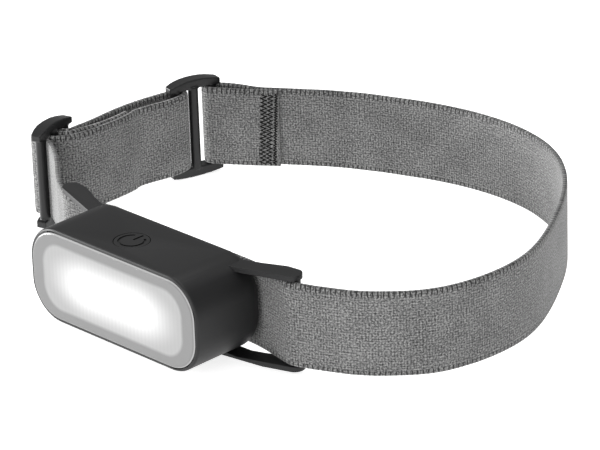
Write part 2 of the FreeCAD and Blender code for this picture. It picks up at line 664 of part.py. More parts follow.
def make_strap_left_run():
    """From the left lug through the adjusting slider: inside, outside and inside its bars."""
    start = between(LEFT_LUG, LEFT_RUN[0], 0.5)
    weave = [ADJUSTER.at(-CROSSING, -0.75), ADJUSTER.at(-CROSSING, HUMP),
             ADJUSTER.at(CROSSING, HUMP), ADJUSTER.at(CROSSING, -WRAP_RADIUS)]
    end = between(weave[-1], OUTER_RUN[0], 0.5)
    return ribbon([start] + LEFT_RUN + weave + [end],
                  [None, None, WRAP_RADIUS, 2.0, 2.0, WRAP_RADIUS])


def make_strap_outer_layer():
    """The doubled length's outer layer, to the joining slider's near bar."""
    start = between(ADJUSTER.at(CROSSING, -WRAP_RADIUS), OUTER_RUN[0], 0.5)
    outer, inner = loop_corners(JOINER.at(-SLIDER_PITCH, 0), (0.1, -0.995))
    return ribbon([start] + OUTER_RUN + [inner, outer, between(outer, INNER_RUN[0], 0.4)],
                  [None, None, None, WRAP_RADIUS, WRAP_RADIUS])


def inner_layer_points():
    outer = loop_corners(JOINER.at(-SLIDER_PITCH, 0), (0.1, -0.995))[0]
    r = WRAP_RADIUS + SPARE
    wrap = [ADJUSTER.at(1.8, -6.0), ADJUSTER.at(-r, -2.3), ADJUSTER.at(-r, r),
            ADJUSTER.at(r, r), ADJUSTER.at(r, -4.0), ADJUSTER.at(7.0, -5.3)]
    return [between(outer, INNER_RUN[0], 0.4)] + INNER_RUN + wrap + SEWN_TAIL


def make_strap_inner_layer():
    """The doubled length's inner layer, sewn back on itself round the adjusting slider."""
    return ribbon(inner_layer_points(),
                  [None, None, None, None, None, None, 1.6, WRAP_RADIUS, WRAP_RADIUS, 1.6,
                   None, None])


def make_loop_stitching():
    """Thread of the seam that closes the loop on the joining slider."""
    lap = STRAP_THICKNESS + PLY
    start = (SEAM_START[0] + 0.60 * lap + 0.8, SEAM_START[1] - 0.80 * lap + 0.62)
    end = (start[0] + 4.6 * 0.79, start[1] + 4.6 * 0.61)
    return ribbon([start, end], offset=-HALF_STRAP - 0.2, thickness=0.25,
                  width=STRAP_WIDTH - 1)


def make_end_stitching():
    """Thread of the seam that closes the loop on the adjusting slider."""
    ends = [between(*SEWN_TAIL, 0.45), between(*SEWN_TAIL, 0.85)]
    return ribbon(ends, offset=HALF_STRAP + 0.2, thickness=0.25, width=STRAP_WIDTH - 1)


# ---------------------------------------------------------------- build

PARTS = {
    "housing": make_housing,
    "lens": make_lens,
    "lens_seal": make_lens_seal,
    "light_tray": make_light_tray,
    "cob_board": make_cob_board,
    "phosphor_strip": make_phosphor_strip,
    "tray_screws": make_tray_screws,
    "circuit_board": make_circuit_board,
    "board_chips": make_board_chips,
    "charge_socket": make_charge_socket,
    "socket_tongue": make_socket_tongue,
    "switch_body": make_switch_body,
    "switch_plunger": make_switch_plunger,
    "power_button": make_power_button,
    "button_clip": make_button_clip,
    "button_seal": make_button_seal,
    "battery_cell": make_battery_cell,
    "battery_pads": make_battery_pads,
    "battery_leads": make_battery_leads,
    "led_leads": make_led_leads,
    "port_flap": make_port_flap,
    "strap_lamp_run": make_strap_lamp_run,
    "strap_right": make_strap_right,
    "strap_back": make_strap_back,
    "strap_end_loop": make_strap_end_loop,
    "strap_left_run": make_strap_left_run,
    "strap_outer_layer": make_strap_outer_layer,
    "strap_inner_layer": make_strap_inner_layer,
    "loop_stitching": make_loop_stitching,
    "end_stitching": make_end_stitching,
    "adjuster_slider": lambda: make_slider(ADJUSTER),
    "joining_slider": lambda: make_slider(JOINER),
}

for name, make in PARTS.items():
    shape = make()
    shape.exportStep("parts/" + name + ".step")
    box = shape.BoundBox
    print(f"{name:18s} solids {len(shape.Solids)} valid {shape.isValid()} "
          f"volume {shape.Volume:9.1f} x {box.XMin:6.1f}..{box.XMax:6.1f} "
          f"y {box.YMin:6.1f}..{box.YMax:6.1f} z {box.ZMin:6.1f}..{box.ZMax:6.1f}")
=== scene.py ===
# %% [markdown]
# # A headlamp on a grey elastic strap
# The lamp's hard parts come from the frame as they are. This lesson adds what a design model
# leaves out: a woven strap in one piece, its sewn seams, soft-edged mouldings, a lens that
# glows, and a finish for every part. Everything is in metres, in the frame's own axes: the
# lamp looks along -Y, the strap runs round behind it, and Z is up.

# %% Load the frame
import math

import bmesh
import bpy
from mathutils import Matrix, Vector, noise


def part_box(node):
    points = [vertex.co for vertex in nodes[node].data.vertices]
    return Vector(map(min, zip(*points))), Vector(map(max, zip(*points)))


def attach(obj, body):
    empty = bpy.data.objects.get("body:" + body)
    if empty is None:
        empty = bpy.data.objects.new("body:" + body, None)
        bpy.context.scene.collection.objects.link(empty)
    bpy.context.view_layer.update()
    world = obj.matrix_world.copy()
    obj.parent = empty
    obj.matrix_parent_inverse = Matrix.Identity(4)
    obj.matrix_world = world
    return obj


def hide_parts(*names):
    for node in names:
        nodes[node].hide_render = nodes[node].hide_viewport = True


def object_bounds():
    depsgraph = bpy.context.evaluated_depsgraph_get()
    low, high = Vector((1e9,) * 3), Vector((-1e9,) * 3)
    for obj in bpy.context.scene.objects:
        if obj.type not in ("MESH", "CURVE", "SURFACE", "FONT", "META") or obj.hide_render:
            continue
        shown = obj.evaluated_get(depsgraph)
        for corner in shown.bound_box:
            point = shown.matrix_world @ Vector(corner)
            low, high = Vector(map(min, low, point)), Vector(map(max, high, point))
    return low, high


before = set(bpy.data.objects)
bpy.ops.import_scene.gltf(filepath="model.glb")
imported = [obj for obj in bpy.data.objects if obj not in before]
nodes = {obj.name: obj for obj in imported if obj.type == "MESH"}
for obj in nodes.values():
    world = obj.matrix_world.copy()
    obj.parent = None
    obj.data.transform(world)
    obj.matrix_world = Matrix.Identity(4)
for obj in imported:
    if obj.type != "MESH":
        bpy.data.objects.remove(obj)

MM = 0.001
cad_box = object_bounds()
print("nodes:", len(nodes), "box:", [[round(v, 4) for v in corner] for corner in cad_box])

# %% [markdown]
# ## The camera
# A long lens a metre away keeps the lamp's edges nearly parallel, as in a catalogue.
# The camera stands to the right of the lamp and a little above it, rolled by two degrees.

# %% Camera
CAMERA_PLACE = (0.7175, -0.6261, 0.4473)
CAMERA_AZIMUTH = math.radians(45.708)
CAMERA_ELEVATION = math.radians(24.161)
CAMERA_ROLL = math.radians(-1.98)
CAMERA_LENS = 227.5      # focal length on a 36 mm wide sensor, mm


def add_camera():
    """The catalogue camera, turned from looking down to looking along its azimuth."""
    data = bpy.data.cameras.new("camera")
    data.sensor_width = 36.0
    data.lens = CAMERA_LENS
    data.clip_end = 50.0
    camera = bpy.data.objects.new("camera", data)
    turn = Matrix.Rotation(CAMERA_AZIMUTH, 4, "Z")
    tilt = Matrix.Rotation(math.radians(90) - CAMERA_ELEVATION, 4, "X")
    roll = Matrix.Rotation(CAMERA_ROLL, 4, "Z")
    camera.matrix_world = Matrix.Translation(CAMERA_PLACE) @ turn @ tilt @ roll
    bpy.context.scene.collection.objects.link(camera)
    bpy.context.scene.camera = camera
    return camera


camera = add_camera()
print("camera at", [round(v, 3) for v in camera.matrix_world.translation])

# %% [markdown]
# ## Small helpers
# Three things are needed again and again: a new object from a bmesh, the mesh that an object
# has once its modifiers are applied, and a colour picked as a hex value turned linear.

# %% Helpers
def add_object(name, data):
    """A new object at the origin, linked to the scene."""
    thing = bpy.data.objects.new(name, data)
    bpy.context.scene.collection.objects.link(thing)
    return thing


def object_from(bm, name):
    """A new object whose mesh is the bmesh, with smooth faces."""
    mesh = bpy.data.meshes.new(name)
    for face in bm.faces:
        face.smooth = True
    bm.to_mesh(mesh)
    bm.free()
    return add_object(name, mesh)


def apply_modifiers(thing):
    """Bake an object's modifiers into its mesh."""
    bpy.context.view_layer.update()
    seen = thing.evaluated_get(bpy.context.evaluated_depsgraph_get())
    mesh = bpy.data.meshes.new_from_object(seen)
    thing.modifiers.clear()
    thing.data = mesh
    return thing


def linear(code):
    """An sRGB hex code such as 7a7a7a as linear red, green, blue and alpha."""
    channels = [int(code[i:i + 2], 16) / 255 for i in (0, 2, 4)]
    return [c / 12.92 if c <= 0.04045 else ((c + 0.055) / 1.055) ** 2.4 for c in channels] + [1.0]


def add_node(tree, kind, settings=None, **links):
    """One shader node. Settings are its attributes. Links name its inputs, with _ for a space or
    i0, i1 and so on for an input by its place, and give each a value or another node's socket."""
    node = tree.nodes.new(kind)
    for key, value in (settings or {}).items():
        setattr(node, key, value)
    for key, value in links.items():
        by_place = key[0] == "i" and key[1:].isdigit()
        socket = node.inputs[int(key[1:]) if by_place else key.replace("_", " ")]
        if isinstance(value, bpy.types.NodeSocket):
            tree.links.new(value, socket)
        else:
            socket.default_value = value
    return node


def new_material(name):
    """An empty node material with its output, and the tree to build in."""
    material = bpy.data.materials.new(name)
    material.use_nodes = True
    material.node_tree.nodes.clear()
    return material, material.node_tree


def finish_material(material, shader):
    """Link a shader node to the material's output."""
    tree = material.node_tree
    output = tree.nodes.new("ShaderNodeOutputMaterial")
    tree.links.new(shader.outputs[0], output.inputs["Surface"])
    return material


print("helpers ready")

# %% [markdown]
# ## The strap's route
# The strap is one length of elastic. Its sewn end hangs on a slider at the back left, the
# strap goes round the head to the right-hand lug, behind the lamp, out through the left-hand
# lug, over the adjusting slider, back along itself round the first slider, and its other end
# is sewn round the adjusting slider's middle bar. The route is a smooth line through that
# story, seen from above, in millimetres. Round the adjusting slider, the points are given along
# and across the slider itself, so that they follow it if it is moved.

# %% Sliders' places and the route
ADJUSTER_AT = (-82.4, 52.1)
ADJUSTER_HEADING = 105.0
JOINER_AT = (-75.4, 103.6)
JOINER_HEADING = 76.0
STRAP_WIDTH = 25.0
STRAP_THICKNESS = 1.5
STRAP_LEVEL = (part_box("strap_right")[0].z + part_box("strap_right")[1].z) / 2


def beside(place, heading, u, n):
    """The plan point u along a slider's rails and n outward of its bars."""
    turn = math.radians(heading)
    return (place[0] + u * math.cos(turn) - n * math.sin(turn),
            place[1] + u * math.sin(turn) + n * math.cos(turn))


def by_adjuster(u, n):
    """A plan point given in the adjusting slider's own directions."""
    return beside(ADJUSTER_AT, ADJUSTER_HEADING, u, n)


SEWN_END = [(-55.0, 120.15), (-60.0, 116.25), (-67.5, 111.2), (-74.4, 106.65), (-76.85, 110.1),
            (-69.8, 115.0), (-61.0, 117.6)]
ROUND_HEAD = [(-55.2, 122.0), (-36.2, 134.5), (-1.4, 147.2), (30.1, 145.9), (55.2, 129.9),
              (77.8, 94.4), (84.4, 73.0), (80.6, 48.4), (66.3, 33.3), (53.6, 27.4)]
BEHIND_LAMP = [(49.2, 25.75), (45.4, 24.45), (41.6, 25.2), (29.8, 27.45), (21.0, 27.45),
               (-21.0, 27.45), (-29.8, 27.45), (-41.6, 25.2), (-45.4, 24.45), (-49.0, 26.7)]
TO_ADJUSTER = [(-56.5, 31.1), (-67.0, 40.4), (-74.2, 45.3)]
OVER_ADJUSTER = [by_adjuster(-4.0, -1.2), by_adjuster(-4.1, 4.0), by_adjuster(-2.6, 5.2),
                 by_adjuster(2.6, 5.3), by_adjuster(4.2, 4.2), by_adjuster(4.1, -1.0),
                 by_adjuster(4.6, -2.9), by_adjuster(8.5, -3.6)]
OUTER_LAYER = [(-80.9, 66.0), (-82.1, 78.0), (-81.5, 89.0)]
ROUND_JOINER = [(-79.0, 100.8), (-74.8, 101.2)]
INNER_LAYER = [(-74.3, 93.5), (-76.1, 86.0), (-76.95, 80.2), (-75.8, 78.3), (-75.2, 69.0),
               (-75.5, 61.5)]
ROUND_ADJUSTER = [by_adjuster(1.8, -6.0), by_adjuster(-2.15, -2.6), by_adjuster(-2.15, 2.15),
                  by_adjuster(2.15, 2.15), by_adjuster(2.1, -4.0), by_adjuster(7.0, -5.3)]
SEWN_TAIL = [(-76.95, 69.2), (-78.15, 78.4)]
ROUTE = (SEWN_END + ROUND_HEAD + BEHIND_LAMP + TO_ADJUSTER + OVER_ADJUSTER + OUTER_LAYER
         + ROUND_JOINER + INNER_LAYER + ROUND_ADJUSTER + SEWN_TAIL)


def add_route(name, points):
    """A flat, smooth curve whose control points are plan points in millimetres."""
    curve = bpy.data.curves.new(name, "CURVE")
    curve.dimensions = "2D"
    curve.resolution_u = 24
    spline = curve.splines.new("NURBS")
    spline.points.add(len(points) - 1)
    for point, (x, y) in zip(spline.points, points):
        point.co = (x * MM, y * MM, 0, 1)
    spline.order_u = 3
    spline.use_endpoint_u = True
    return add_object(name, curve)


route = add_route("route", ROUTE)
line = bpy.data.meshes.new_from_object(route)
corners = [v.co.copy() for v in line.vertices]
strap_length = sum((b - a).length for a, b in zip(corners, corners[1:]))
print("strap length", round(strap_length / MM, 1), "mm")

# %% [markdown]
# ## The strap
# Elastic webbing is woven flat and then led round its route, so it is modelled the same way:
# a flat grid with the little scallops of its selvage, solidified to the webbing's thickness,
# and then bent by a Curve modifier. Its UV map is made while it is flat, in real metres, so
# the weave keeps its true size everywhere. Sculpting it in place would stretch the weave.

# %% The strap, flat and then bent
COLUMN = 0.35            # length of one column of faces, mm
ROWS = 16                # rows of faces across the width, closer together towards the edges
EDGE_CROWD = 0.4         # how strongly the rows crowd towards the edges
SELVAGE_SHARE = 0.9      # share of the half width that lies inside the selvage
DRIFT = 0.22             # slow unevenness of the edge, mm
DRIFT_LENGTH = 14        # length of that unevenness, mm
EDGE_THIN = 0.45         # share of the thickness that the outermost threads have
EDGE_SPILL = 0.25        # how far past the strap's nominal width those threads may lie, mm
EDGE_FADE = 0.9          # how far in from them the full thickness begins, mm
SELVAGE_LOOP = 1.45      # spacing of the weft's turning loops at the edge, mm
SELVAGE_DEPTH = 0.06     # how far the loops stand out, mm


def selvage(x, z):
    """How far a point near the edge stands out: weft loops, and a slow unevenness."""
    share = max(0.0, abs(z) / (STRAP_WIDTH / 2) - SELVAGE_SHARE) / (1 - SELVAGE_SHARE)
    loops = abs(math.sin(math.pi * x / SELVAGE_LOOP)) * SELVAGE_DEPTH
    drift = noise.noise(Vector((x / DRIFT_LENGTH, math.copysign(3.0, z), 0))) * DRIFT
    return math.copysign((loops - SELVAGE_DEPTH + drift) * share, z)


def flat_strap(length):
    """A flat slab of webbing from x = 0 to its length, in millimetres, with its UV map."""
    bm = bmesh.new()
    bmesh.ops.create_grid(bm, x_segments=round(length / COLUMN), y_segments=ROWS, size=0.5)
    for vertex in bm.verts:
        t = vertex.co.y * 2
        x = (vertex.co.x + 0.5) * length
        z = STRAP_WIDTH / 2 * t * (1 + EDGE_CROWD - EDGE_CROWD * t * t)
        vertex.co = (x, 0, z + selvage(x, z))
    bm.normal_update()
    bmesh.ops.solidify(bm, geom=bm.faces[:], thickness=STRAP_THICKNESS)
    depths = [v.co.y for v in bm.verts]
    bmesh.ops.translate(bm, verts=bm.verts, vec=(0, -(min(depths) + max(depths)) / 2, 0))
    for vertex in bm.verts:
        inset = max(0.0, STRAP_WIDTH / 2 - abs(vertex.co.z) + EDGE_SPILL)
        vertex.co.y *= min(1.0, EDGE_THIN + (1 - EDGE_THIN) * math.sqrt(inset / EDGE_FADE))
    uv = bm.loops.layers.uv.new("UVMap")
    for face in bm.faces:
        for loop in face.loops:
            loop[uv].uv = (loop.vert.co.x * MM, loop.vert.co.z * MM)
    bmesh.ops.recalc_face_normals(bm, faces=bm.faces)
    bmesh.ops.scale(bm, verts=bm.verts, vec=(MM, MM, MM))
    return bm


def bend_along(thing, curve):
    """Bend a flat piece round a route, and lift it to the strap's level."""
    bender = thing.modifiers.new("bend", "CURVE")
    bender.object = curve
    bender.deform_axis = "POS_X"
    apply_modifiers(thing)
    thing.data.transform(Matrix.Translation((0, 0, STRAP_LEVEL)))
    return thing


strap = bend_along(object_from(flat_strap(strap_length / MM), "elastic_strap"), route)
print("strap faces", len(strap.data.polygons))

# %% [markdown]
# ## The seams
# Each end of the strap is folded back and closed with black zigzag thread. A zigzag is built
# flat, as thin rods of thread half sunk in both faces of the cloth, and bent round the same
# route as the strap, so it lands where the machine would have put it.

# %% Zigzag seams
THREAD = 0.24            # thread radius, mm
THREAD_SEEN = 0.8        # share of the thread's thickness that the tight stitches keep
SEAM_HEIGHT = 23.6       # how much of the strap's width a seam takes, mm
SEAM_SLANT = -1.2        # how far the seam leans along the strap from bottom to top
SEAM_WANDER = 0.45       # how far single stitches stray, mm
# each row's distance from the seam's start, its width and the height of a stitch, mm
SEWN_ROWS = ((1.1, 0.7, 0.42), (2.9, 1.6, 0.66), (4.9, 1.7, 0.66))
TAIL_ROWS = ((2.2, 1.2, 0.62), (4.2, 1.2, 0.62))
TAIL_SEAM_FROM_END = 6.5    # where the tail's seam starts, mm before the strap's end


def zigzag(bm, x, width, step, depth):
    """One row of zigzag stitches up the strap's width, at x along it, in millimetres."""
    count = int(SEAM_HEIGHT / step)
    for i in range(count):
        side = 0.5 if i % 2 else -0.5
        stray = noise.noise(Vector((x, i * 0.7, 2.0))) * SEAM_WANDER
        wander = stray + SEAM_SLANT * (i / count - 0.5)
        start = Vector((x + side * width + wander, depth, -SEAM_HEIGHT / 2 + i * step))
        end = Vector((x - side * width + wander, depth, start.z + step))
        middle = (start + end) / 2
        radius = THREAD * THREAD_SEEN
        rod = bmesh.ops.create_cone(bm, cap_ends=True, segments=6, radius1=radius,
                                    radius2=radius, depth=(end - start).length + THREAD)
        turn = (end - start).to_track_quat("Z", "Y").to_matrix().to_4x4()
        bmesh.ops.transform(bm, verts=rod["verts"], matrix=Matrix.Translation(middle) @ turn)


def add_seam(name, rows, start, depths):
    """Rows of zigzag, at distances from start along the strap, on the faces at each depth."""
    bm = bmesh.new()
    for x, width, step in rows:
        for depth in depths:
            zigzag(bm, start + x, width, step, depth)
    bmesh.ops.scale(bm, verts=bm.verts, vec=(MM, MM, MM))
    return bend_along(object_from(bm, name), route)


FACE = STRAP_THICKNESS / 2
loop_seam = add_seam("loop_seam", SEWN_ROWS, 0.0, (FACE, -FACE))
tail_start = strap_length / MM - TAIL_SEAM_FROM_END
tail_seam = add_seam("tail_seam", TAIL_ROWS, tail_start, (FACE, -FACE))
print("stitches", len(loop_seam.data.polygons) // 8, len(tail_seam.data.polygons) // 8)

# %% [markdown]
# ## The sliders
# Each slider is one small acetal moulding: three upright bars between two rails that bow away
# from the head and rise in their middle. Bars and rails are roughed out as separate blocks,
# then a voxel remesh joins them into one skin and a smooth melts the corners, which gives the
# soft fillets that a moulding has where a bar meets a rail.

# %% Sliders
# The blocks are a little bigger than the moulding, because the smooth that follows melts them.
SLIDER_REACH = 8.8       # half a rail's length
SLIDER_PITCH = 6.2       # from the middle bar to an end bar
SLIDER_BAR = 1.6         # radius of a bar
BAR_BITE = 0.6           # how deep a bar's end stands in its rail
RAIL_INNER = STRAP_WIDTH / 2 + 0.5    # from the strap's middle to a rail's inner face
RAIL_END = 2.0           # height of a rail at its ends
RAIL_CROWN = 1.0         # how much higher it is in its middle
RAIL_DEPTH = 4.2
RAIL_BOW = 1.2           # how far a rail bows away from the head
RAIL_TAPER = 0.25        # how much of its depth a rail loses at its ends
RAIL_INSET = 0.1         # how far a rail lies towards the head from the line of the bars
RAIL_CUTS = 15
VOXEL = 0.22             # size of the remesh's voxels, mm
MELT_ROUNDS = 4


def add_rail(bm, side):
    """One rail: a block bent into a bow, highest in its middle."""
    before = len(bm.verts)
    block = bmesh.ops.create_cube(bm, size=1)["verts"]
    edges = {e for v in block for e in v.link_edges}
    along = [e for e in edges if abs(e.verts[0].co.x - e.verts[1].co.x) > 0.5]
    bmesh.ops.subdivide_edges(bm, edges=along, cuts=RAIL_CUTS, use_grid_fill=True)
    for vertex in list(bm.verts)[before:]:
        x, y, z = vertex.co
        hump = 1 - (2 * x) ** 2
        outer_face = RAIL_INNER + RAIL_END + RAIL_CROWN * hump
        height = outer_face if z > 0 else RAIL_INNER
        depth = RAIL_DEPTH * (1 - RAIL_TAPER * (2 * x) ** 4)
        vertex.co = (x * 2 * SLIDER_REACH, y * depth + RAIL_BOW * hump - RAIL_INSET,
                     side * height)


def add_slider(name, place, heading):
    """A three-bar slider at its place in plan, turned to its heading."""
    bm = bmesh.new()
    for side in (-1, 1):
        add_rail(bm, side)
    for u in (-SLIDER_PITCH, 0.0, SLIDER_PITCH):
        bar = bmesh.ops.create_cone(bm, cap_ends=True, segments=32, radius1=SLIDER_BAR,
                                    radius2=SLIDER_BAR, depth=2 * (RAIL_INNER + BAR_BITE))
        bmesh.ops.translate(bm, verts=bar["verts"], vec=(u, 0, 0))
    bmesh.ops.recalc_face_normals(bm, faces=bm.faces)
    turn = Matrix.Rotation(math.radians(heading), 4, "Z")
    lift = Matrix.Translation((place[0], place[1], STRAP_LEVEL / MM))
    bmesh.ops.transform(bm, verts=bm.verts, matrix=Matrix.Scale(MM, 4) @ lift @ turn)
    slider = object_from(bm, name)
    remesh = slider.modifiers.new("fuse", "REMESH")
    remesh.mode = "VOXEL"
    remesh.voxel_size = VOXEL * MM
    remesh.use_smooth_shade = True
    melt = slider.modifiers.new("melt", "SMOOTH")
    melt.factor = 0.5
    melt.iterations = MELT_ROUNDS
    return apply_modifiers(slider)


adjuster = add_slider("adjuster_moulding", ADJUSTER_AT, ADJUSTER_HEADING)
joiner = add_slider("joiner_moulding", JOINER_AT, JOINER_HEADING)
print("slider faces", len(adjuster.data.polygons), len(joiner.data.polygons))

# %% [markdown]
# ## The strap's finish
# Heathered elastic: a plain weave of grey polyester over rubber cores, a little under a
# millimetre per rib. Two sine waves, added and pushed about by a noise, give the over-and-under
# of the weave, very faintly, as it is so fine; the threads vary from pale to dark, which gives
# the speckle; and slits, sunk in the bump and darkened with painted shade, mark the selvage where
# the weft turns. The eye gets a matt, slightly fuzzy grey, so the roughness is high and a little sheen
# lightens it where it turns away.
# The map is the strap's own, in metres, so every scale below is one over a real size.

# %% Woven elastic
RIB = 0.85               # spacing of the weave, mm
SPECK = 0.55             # size of one thread's change of shade, mm
CLOUD = 9                # size of the broad, faint patches, mm
WOBBLE = 0.6             # how far the threads wander from a straight line, mm
WOBBLE_LENGTH = 1.7      # the length over which they do, mm
WEAVE_WEIGHT = 0.035     # how much the weave changes the tone, against 1 for the specks
CLOUD_WEIGHT = 0.12      # how much the patches do
SLIT_BAND = (1.7, 1.1)   # distance from the edge where the slits begin and where they are full, mm
SLIT_WEIGHT = -0.4       # how much the slits sink into the bump


def woven_elastic():
    """Grey threads by the tone of a fine noise, with slits along both edges."""
    material, tree = new_material("heathered polyester elastic, woven")
    where = add_node(tree, "ShaderNodeUVMap", {"uv_map": "UVMap"})
    wobble = add_node(tree, "ShaderNodeTexNoise", Vector=where.outputs[0], Scale=1 / (WOBBLE_LENGTH * MM),
                      Detail=1.0)
    shift = add_node(tree, "ShaderNodeVectorMath", {"operation": "MULTIPLY_ADD"},
                     i0=wobble.outputs["Color"], i1=(WOBBLE * MM,) * 3, i2=where.outputs[0])
    parts = add_node(tree, "ShaderNodeSeparateXYZ", Vector=shift.outputs[0])
    waves = []
    for axis, pitch in (("X", RIB), ("Y", RIB * 0.9)):
        phase = add_node(tree, "ShaderNodeMath", {"operation": "MULTIPLY"}, i0=parts.outputs[axis],
                         i1=2 * math.pi / (pitch * MM))
        waves.append(add_node(tree, "ShaderNodeMath", {"operation": "SINE"}, i0=phase.outputs[0]))
    weave = add_node(tree, "ShaderNodeMath", {"operation": "ADD"}, i0=waves[0].outputs[0],
                     i1=waves[1].outputs[0])
    speck = add_node(tree, "ShaderNodeTexNoise", Vector=where.outputs[0], Scale=1 / (SPECK * MM),
                     Detail=3.0, Roughness=0.65)
    cloud = add_node(tree, "ShaderNodeTexNoise", Vector=where.outputs[0], Scale=1 / (CLOUD * MM),
                     Detail=2.0)
    tone = add_node(tree, "ShaderNodeMath", {"operation": "MULTIPLY_ADD"}, i0=weave.outputs[0],
                    i1=WEAVE_WEIGHT, i2=speck.outputs[0])
    tone = add_node(tree, "ShaderNodeMath", {"operation": "MULTIPLY_ADD"}, i0=cloud.outputs[0],
                    i1=CLOUD_WEIGHT, i2=tone.outputs[0])
    shade = add_node(tree, "ShaderNodeValToRGB", i0=tone.outputs[0])
    ramp = shade.color_ramp
    ramp.elements[0].position = 0.39
    ramp.elements[0].color = linear("2d2d2d")
    ramp.elements[1].position = 0.71
    ramp.elements[1].color = linear("969695")
    middle = ramp.elements.new(0.55)
    middle.color = linear("656565")

    flat = add_node(tree, "ShaderNodeSeparateXYZ", Vector=where.outputs[0])
    edge = add_node(tree, "ShaderNodeMath", {"operation": "ABSOLUTE"}, i0=flat.outputs["Y"])
    band = add_node(tree, "ShaderNodeMapRange", {"interpolation_type": "SMOOTHSTEP"},
                    i0=edge.outputs[0])
    band.inputs["From Min"].default_value = (STRAP_WIDTH / 2 - SLIT_BAND[0]) * MM
    band.inputs["From Max"].default_value = (STRAP_WIDTH / 2 - SLIT_BAND[1]) * MM
    turn = add_node(tree, "ShaderNodeMath", {"operation": "MULTIPLY"}, i0=parts.outputs["X"],
                    i1=2 * math.pi / (SELVAGE_LOOP * MM))
    slit = add_node(tree, "ShaderNodeMath", {"operation": "SINE"}, i0=turn.outputs[0])
    slit = add_node(tree, "ShaderNodeMapRange", i0=slit.outputs[0])
    slit.inputs["From Min"].default_value = 0.35
    slit.inputs["From Max"].default_value = 0.95
    slit_depth_and_shade = add_node(tree, "ShaderNodeMath", {"operation": "MULTIPLY"}, i0=slit.outputs[0],
                    i1=band.outputs[0])
    # painted shade: the slits are darkened to 222222 where they sink into the bump, the shade that falls
    # in them
    colour = add_node(tree, "ShaderNodeMix", {"data_type": "RGBA"}, i0=slit_depth_and_shade.outputs[0])
    tree.links.new(shade.outputs[0], colour.inputs[6])
    colour.inputs[7].default_value = linear("222222")

    height = add_node(tree, "ShaderNodeMath", {"operation": "MULTIPLY_ADD"},
                      i0=slit_depth_and_shade.outputs[0], i1=SLIT_WEIGHT, i2=tone.outputs[0])
    bump = add_node(tree, "ShaderNodeBump", Strength=0.6, Distance=0.25 * MM,
                    Height=height.outputs[0])
    shader = add_node(tree, "ShaderNodeBsdfPrincipled", Base_Color=colour.outputs[2],
                      Roughness=0.82, Specular_IOR_Level=0.25, Sheen_Weight=0.25,
                      Sheen_Roughness=0.45, Normal=bump.outputs[0])
    return finish_material(material, shader)


elastic = woven_elastic()
strap.data.materials.append(elastic)
print("material:", elastic.name)

# %% [markdown]
# ## Moulded plastics, rubber and thread
# Moulded ABS leaves its tool with a fine spark-eroded grain: matt, with broad soft highlights.
# Acetal is slicker, so its edges shine more, and rubber and thread are duller than either. One
# function makes such a finish from a colour, a roughness, the size and depth of its grain, and
# how much it reflects, because they differ in nothing else.

# %% Grained finishes
PATCH = 12               # size of the patches of slightly other shade and gloss, mm
SHADE_SPREAD = 0.15      # how far the shade goes to either side, as a share of it
GLOSS_SPREAD = 0.05


def grained(name, code, roughness, grain, depth, specular=0.5, metallic=0.0):
    """A finish with a fine grain, in millimetres, and a slight change of gloss across it."""
    material, tree = new_material(name)
    where = add_node(tree, "ShaderNodeTexCoord")
    fine = add_node(tree, "ShaderNodeTexNoise", Vector=where.outputs["Object"],
                    Scale=1 / (grain * MM), Detail=2.0)
    broad = add_node(tree, "ShaderNodeTexNoise", Vector=where.outputs["Object"],
                     Scale=1 / (PATCH * MM), Detail=3.0)
    tint = add_node(tree, "ShaderNodeMix", {"data_type": "RGBA"}, i0=broad.outputs[0])
    base = linear(code)
    tint.inputs[6].default_value = [c * (1 - SHADE_SPREAD) for c in base[:3]] + [1.0]
    lighter = [min(1.0, c * (1 + SHADE_SPREAD)) for c in base[:3]]
    tint.inputs[7].default_value = lighter + [1.0]
    gloss = add_node(tree, "ShaderNodeMapRange", i0=broad.outputs[0])
    gloss.inputs["To Min"].default_value = roughness - GLOSS_SPREAD
    gloss.inputs["To Max"].default_value = roughness + GLOSS_SPREAD
    bump = add_node(tree, "ShaderNodeBump", Strength=0.5, Distance=depth * MM,
                    Height=fine.outputs[0])
    shader = add_node(tree, "ShaderNodeBsdfPrincipled", Base_Color=tint.outputs[2],
                      Roughness=gloss.outputs[0], Specular_IOR_Level=specular,
                      Metallic=metallic, Normal=bump.outputs[0])
    return finish_material(material, shader)


shell_abs = grained("black ABS, spark-eroded mould", "151516", 0.50, 0.35, 0.02, specular=0.35)
button_abs = grained("black ABS, finer mould", "141415", 0.46, 0.25, 0.015, specular=0.35)
acetal = grained("black acetal, moulded", "111112", 0.38, 0.5, 0.012, specular=0.4)
thread = grained("black polyester thread", "0c0c0c", 0.75, 0.12, 0.05, specular=0.2)
silicone = grained("black silicone rubber", "191919", 0.70, 0.30, 0.02, specular=0.3)
print("outer finishes:", [m.name for m in (shell_abs, button_abs, acetal, thread, silicone)])

# %% [markdown]
# ## What is inside
# None of this shows with the lamp closed, but each part still gets the finish it has on the
# bench: white reflector, white-masked aluminium board, phosphor, solder mask and pouch foil.

